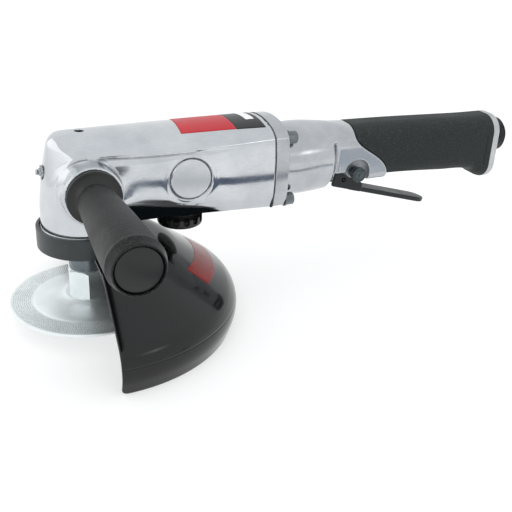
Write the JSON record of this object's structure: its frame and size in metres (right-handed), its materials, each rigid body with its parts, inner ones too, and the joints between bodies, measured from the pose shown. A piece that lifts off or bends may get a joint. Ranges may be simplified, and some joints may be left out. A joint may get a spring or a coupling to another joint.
{
  "type": "air angle grinder",
  "caption": "Pneumatic angle grinder: polished bevel-drive head and vane motor, half wheel guard, screw-in side handle, lever throttle under a rubber rear grip.",
  "frame": {"origin": "on the spindle axis, in the plane of the wheel seat under the wheel flange", "axes": "+X from the head along the motor to the handle, -Y along the side handle, -Z out of the wheel stud"},
  "size_m": [0.387, 0.2439, 0.136],
  "materials": {
    "polished_aluminium": "polished casting",
    "satin_aluminium": "turned, satin",
    "bright_steel": "ground steel",
    "zinc_plate": "zinc plated, stippled rim",
    "grey_screw_steel": "plain screw steel",
    "black_gloss_paint": "gloss black",
    "dark_collar_paint": "satin dark grey",
    "black_lever_paint": "satin near black",
    "black_oxide": "blackened",
    "black_moulding": "fine texture",
    "black_deflector": "semi-gloss",
    "grip_rubber": "matt charcoal",
    "seal_rubber": "matt black",
    "gasket_sheet": "pressed sheet",
    "grey_iron": "bored and honed",
    "valve_brass": "turned",
    "vane_laminate": "brown laminate",
    "felt": "pressed felt"
  },
  "bodies": {
    "tool": {"motor_housing": "polished_aluminium", "grease_fitting": "bright_steel", "spindle_cap": "satin_aluminium", "dust_seal": "seal_rubber", "lower_bearing_outer_ring": "bright_steel", "upper_bearing_outer_ring": "bright_steel", "front_rotor_bearing_outer_ring": "bright_steel", "rear_rotor_bearing_outer_ring": "bright_steel", "cylinder_liner": "grey_iron", "front_end_plate": "grey_iron", "rear_end_plate": "grey_iron", "liner_dowel": "bright_steel", "flange_gasket": "gasket_sheet", "handle_casting": "polished_aluminium", "flange_screws": "grey_screw_steel", "lock_washers": "grey_screw_steel", "handle_grip": "grip_rubber", "handle_end_cap": "satin_aluminium", "inlet_bushing": "black_oxide", "inlet_screen": "bright_steel", "valve_seat": "valve_brass", "valve_bushing": "valve_brass", "valve_spring": "bright_steel", "lever_pin": "black_oxide", "side_handle_grip": "black_moulding", "side_handle_stud": "bright_steel", "side_handle_cap": "black_moulding", "deflector_screw": "grey_screw_steel"},
    "spindle_set": {"spindle": "bright_steel", "spindle_key": "bright_steel", "bevel_gear": "bright_steel", "gear_lock_nut": "bright_steel", "wheel_flange": "zinc_plate", "lower_bearing_inner_ring": "bright_steel", "lower_bearing_balls": "bright_steel", "upper_bearing_inner_ring": "bright_steel", "upper_bearing_balls": "bright_steel"},
    "rotor_set": {"rotor": "bright_steel", "rotor_vanes": "vane_laminate", "bevel_pinion": "bright_steel", "front_rotor_bearing_inner_ring": "bright_steel", "front_rotor_bearing_balls": "bright_steel", "rear_rotor_bearing_inner_ring": "bright_steel", "rear_rotor_bearing_balls": "bright_steel"},
    "guard": {"guard_shell": "black_gloss_paint", "guard_collar": "dark_collar_paint", "clamp_screw": "grey_screw_steel", "clamp_nut": "grey_screw_steel"},
    "lever": {"throttle_lever": "black_lever_paint"},
    "valve": {"valve_stem": "bright_steel"},
    "regulator": {"regulator_spool": "black_oxide", "regulator_clip": "black_oxide", "regulator_ring": "seal_rubber"},
    "deflector": {"exhaust_deflector": "black_deflector", "silencer_ring": "felt"}
  },
  "joints": [
    {"name": "spindle_spin", "type": "hinge", "parent": "tool", "child": "spindle_set", "pos_m": [0, 0, 0], "axis": [0, 0, 1], "continuous": true},
    {"name": "rotor_spin", "type": "hinge", "parent": "tool", "child": "rotor_set", "pos_m": [0, 0, 0.0915], "axis": [1, 0, 0], "continuous": true},
    {"name": "guard_swivel", "type": "hinge", "parent": "tool", "child": "guard", "pos_m": [0, 0, 0.05], "axis": [0, 0, 1], "range_deg": [-90, 90]},
    {"name": "lever_press", "type": "hinge", "parent": "tool", "child": "lever", "pos_m": [0.1913, 0, 0.0693], "axis": [0, -1, 0], "range_deg": [0, 14]},
    {"name": "valve_slide", "type": "slide", "parent": "tool", "child": "valve", "axis": [0, 0, 1], "range_m": [0, 0.00456], "stiffness_N_per_m": 300, "springref_m": -0.004, "deforming": ["valve_spring"]},
    {"name": "regulator_turn", "type": "hinge", "parent": "tool", "child": "regulator", "pos_m": [0.1948, 0, 0.0782], "axis": [0, -1, 0], "range_deg": [-90, 90]},
    {"name": "deflector_turn", "type": "hinge", "parent": "tool", "child": "deflector", "pos_m": [0.0663, 0, 0.055], "axis": [0, 0, 1], "continuous": true}
  ],
  "couplings": [
    {"joint": "rotor_spin", "follows": "spindle_spin", "ratio": 2.3333},
    {"joint": "lever_press", "follows": "valve_slide", "rad_per_m": 53.63}
  ]
}
